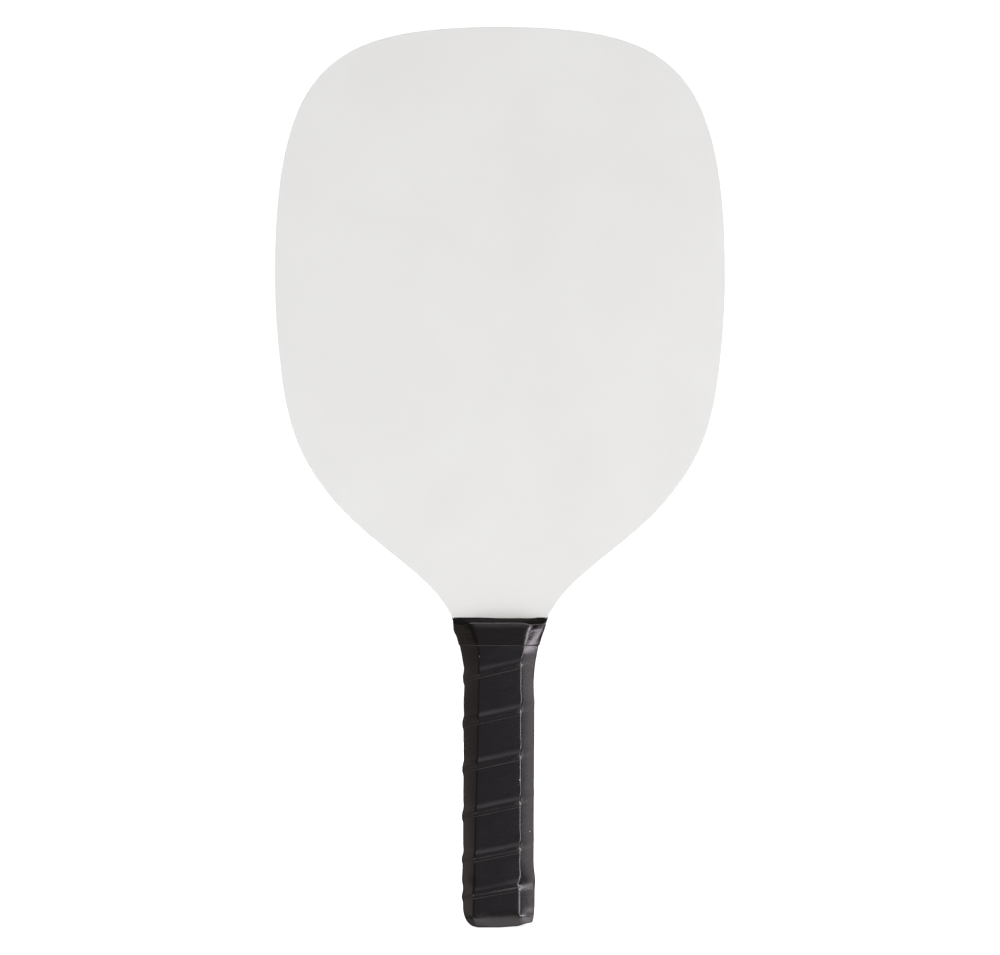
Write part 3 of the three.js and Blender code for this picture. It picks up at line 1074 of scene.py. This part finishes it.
def make_world():
    """White to the camera, an even fill to matt surfaces, and almost dark to glossy ones."""
    world = bpy.data.worlds.new("studio")
    bpy.context.scene.world = world
    world.use_nodes = True
    tree = world.node_tree
    tree.nodes.clear()
    output = tree.nodes.new("ShaderNodeOutputWorld")
    path = tree.nodes.new("ShaderNodeLightPath")
    shiny = tree.nodes.new("ShaderNodeMixShader")
    tree.links.new(path.outputs["Is Glossy Ray"], shiny.inputs["Fac"])
    tree.links.new(background(tree, WORLD_FILL), shiny.inputs[1])
    tree.links.new(background(tree, WORLD_SHINE), shiny.inputs[2])
    choose = tree.nodes.new("ShaderNodeMixShader")
    tree.links.new(path.outputs["Is Camera Ray"], choose.inputs["Fac"])
    tree.links.new(shiny.outputs["Shader"], choose.inputs[1])
    tree.links.new(background(tree, WORLD_SEEN), choose.inputs[2])
    tree.links.new(choose.outputs["Shader"], output.inputs["Surface"])


def make_softbox(name, azimuth, elevation, spread, radiance, tint):
    """A softbox that looks at the handle. Azimuth 0 is in front and 90 to the right, and its width and
    height are angles as the handle sees them."""
    data = bpy.data.lights.new(name, "AREA")
    data.shape = "RECTANGLE"
    data.size, data.size_y = (2 * SOFTBOX_DISTANCE * math.tan(math.radians(angle / 2)) for angle in spread)
    data.energy = math.pi * data.size * data.size_y * radiance
    data.color = tint
    light = bpy.data.objects.new(name, data)
    a = math.radians(azimuth)
    e = math.radians(elevation)
    way = Vector((math.sin(a) * math.cos(e), -math.cos(a) * math.cos(e), math.sin(e)))
    light.location = Vector(SOFTBOX_CENTRE) + way * SOFTBOX_DISTANCE
    light.rotation_mode = "QUATERNION"
    light.rotation_quaternion = way.to_track_quat("Z", "Y")
    light.visible_camera = False
    bpy.context.scene.collection.objects.link(light)
    return light


WHITE = (1.0, 1.0, 1.0)
COOL = (1.0, 0.91, 1.0)
NEUTRAL = (1.0, 0.92, 0.94)
WARM = (1.0, 0.8, 0.72)

# Softboxes that only show as reflections: name, azimuth, elevation, (width, height) in degrees,
# radiance, tint.
SHINE = [
    ("strip_upper", 33, 32, (13, 34), 3.6, COOL),
    ("strip_middle", 29, 3, (13, 24), 15.0, COOL),
    ("strip_lower", 44, -28, (20, 24), 11.0, COOL),
    ("front", -8, 0, (44, 44), 0.19, COOL),
    ("front_rise", 4, 27, (56, 10), 0.5, COOL),
    ("front_high", 4, 40, (56, 16), 1.2, COOL),
    ("top_front", 0, 70, (80, 28), 4.0, NEUTRAL),
    ("top_left", -48, 55, (30, 26), 0.8, COOL),
    ("right_high", 85, 42, (30, 20), 4.5, WARM),
    ("right_side", 100, 0, (26, 24), 1.5, NEUTRAL),
    ("right_low", 84, -10, (18, 12), 0.4, NEUTRAL),
    ("right_lower", 90, -32, (22, 14), 2.4, NEUTRAL),
    ("right_flare", 75, -24, (64, 15), 7.5, COOL),
    ("right_back", 120, 15, (22, 24), 6.5, WARM),
    ("left_side", -82, 0, (20, 40), 0.3, WARM),
    ("left_outer", -106, 0, (26, 40), 0.6, WARM),
    ("left_low", -95, -35, (50, 26), 0.4, WARM),
    ("left_below", -90, -66, (60, 34), 0.8, WARM),
    ("below_front", 0, -72, (90, 30), 2.2, NEUTRAL),
    ("below_rise", 0, -26, (70, 8), 0.22, COOL),
    ("below_middle", 0, -38, (70, 16), 0.1, NEUTRAL),
]
# Softboxes that light matt surfaces only, in the same form.
FILL = [
    ("key_right", 40, -18, (36, 46), 2.5, WHITE),
    ("key_left", -42, -18, (36, 46), 2.3, WHITE),
    ("back_fill", 170, 10, (50, 40), 2.2, WHITE),
]


def make_lights():
    make_world()
    for settings in SHINE:
        make_softbox(*settings).visible_diffuse = False
    for settings in FILL:
        make_softbox(*settings).visible_glossy = False


def make_camera():
    data = bpy.data.cameras.new("camera")
    data.sensor_width = 36.0
    data.lens = CAMERA_LENS
    camera = bpy.data.objects.new("camera", data)
    camera.location = (0.0, -CAMERA_DISTANCE, CAMERA_HEIGHT)
    camera.rotation_euler = (math.pi / 2, 0.0, 0.0)
    bpy.context.scene.collection.objects.link(camera)
    bpy.context.scene.camera = camera
    bpy.context.scene.view_settings.view_transform = "Standard"


# ---- Assembly ----


def finish_piece(piece, material):
    """Gives a new piece its material and slot, and lets it ride on the paddle's one body."""
    piece.data.materials.clear()
    piece.data.materials.append(material)
    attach(piece, "root")


def repaint(node, material):
    """A better material on a CAD node that stays as it is."""
    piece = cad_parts[node]
    piece.data.materials.clear()
    piece.data.materials.append(material)


def build_blade():
    """The blade stays out of reflections, so that the collar's sloping top doesn't mirror it."""
    film = film_material()
    for piece in make_films():
        finish_piece(piece, film)
        piece.visible_glossy = False
    long_grain = wood_material("long_grain_veneer", "Z", (0.68, 0.47, 0.27), (0.5, 0.31, 0.15))
    cross_grain = wood_material("cross_grain_veneer", "X", (0.6, 0.4, 0.22), (0.42, 0.25, 0.12))
    for i, piece in enumerate(make_veneers()):
        if i % 2 == 0:
            finish_piece(piece, long_grain)
        else:
            finish_piece(piece, cross_grain)
        piece.visible_glossy = False


def build_handle():
    """The collar casts no shadow on the blade, which is lit evenly right down to it."""
    scale_wood = wood_material("scale_wood", "Z", (0.62, 0.42, 0.23), (0.45, 0.28, 0.14))
    repaint("handle_scale_front", scale_wood)
    repaint("handle_scale_back", scale_wood)
    repaint("grip_backing_tape", backing_material())
    nail = nail_material()
    repaint("butt_cap_nail_front", nail)
    repaint("butt_cap_nail_back", nail)
    finish_piece(make_cap(), cap_material())
    finish_piece(make_wrap(), wrap_material())
    collar = make_collar()
    finish_piece(collar, tape_material())
    collar.visible_shadow = False
    collar.visible_diffuse = False


make_camera()
build_blade()
build_handle()
make_floor()
make_lights()
